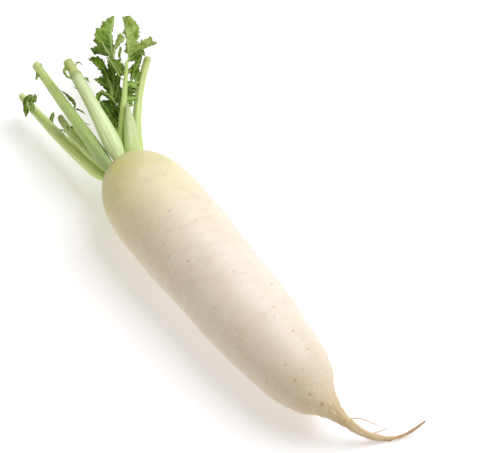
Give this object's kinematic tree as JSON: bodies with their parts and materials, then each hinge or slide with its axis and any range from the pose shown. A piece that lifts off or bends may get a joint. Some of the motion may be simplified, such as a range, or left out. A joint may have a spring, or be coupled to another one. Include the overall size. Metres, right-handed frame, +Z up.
{
  "type": "daikon radish",
  "caption": "Long white daikon radish lying on its side, with a yellow-green shoulder, a thin bent tail, cut green leaf stalks and young toothed leaves.",
  "frame": {"origin": "under the middle of the bounding box, on the surface that the root lies on", "axes": "+X from the leaf stalks to the tail along the root's length, +Z up, +Y to the side that the tail and the young leaves bend to"},
  "size_m": [0.4192, 0.1184, 0.083],
  "materials": {
    "root_skin": "smooth moist root skin, cream white with a yellow-green shoulder, satin, faint rings and small brown pores",
    "leaf_stalk": "pale green ribbed leaf stalk, satin",
    "leaf_blade": "dark green leaf with pale veins, slightly rough"
  },
  "bodies": {
    "root": {"front_leaf_left": "leaf_blade", "front_leaf_low": "leaf_blade", "front_leaf_midrib": "leaf_stalk", "front_leaf_right": "leaf_blade", "front_leaf_side": "leaf_blade", "front_leaf_small": "leaf_blade", "front_leaf_tip": "leaf_blade", "front_leaf_under": "leaf_blade", "left_leaf_arch": "leaf_blade", "left_leaf_base": "leaf_blade", "left_leaf_curl": "leaf_blade", "left_leaf_high": "leaf_blade", "left_leaf_inner": "leaf_blade", "left_leaf_inner_low": "leaf_blade", "left_leaf_low": "leaf_blade", "left_leaf_middle": "leaf_blade", "left_leaf_midrib": "leaf_stalk", "left_leaf_right": "leaf_blade", "left_leaf_tip": "leaf_blade", "root": "root_skin", "stalk_bright": "leaf_stalk", "stalk_bright_curl": "leaf_blade", "stalk_bright_scrap": "leaf_blade", "stalk_bright_shred": "leaf_blade", "stalk_bright_tuft": "leaf_blade", "stalk_dark": "leaf_stalk", "stalk_dark_flap": "leaf_blade", "stalk_dark_frond": "leaf_blade", "stalk_dark_scrap": "leaf_blade", "stalk_dark_shred": "leaf_blade", "stalk_dark_tuft": "leaf_blade", "stalk_low": "leaf_stalk", "stalk_low_collar": "leaf_blade", "stalk_low_flap": "leaf_blade", "stalk_low_scrap": "leaf_blade", "stalk_low_shred": "leaf_blade", "stalk_rear": "leaf_stalk", "stalk_small": "leaf_stalk", "stalk_small_flap": "leaf_blade", "stalk_small_scrap": "leaf_blade", "stalk_small_shred": "leaf_blade", "stalk_stub": "leaf_stalk"}
  },
  "joints": []
}
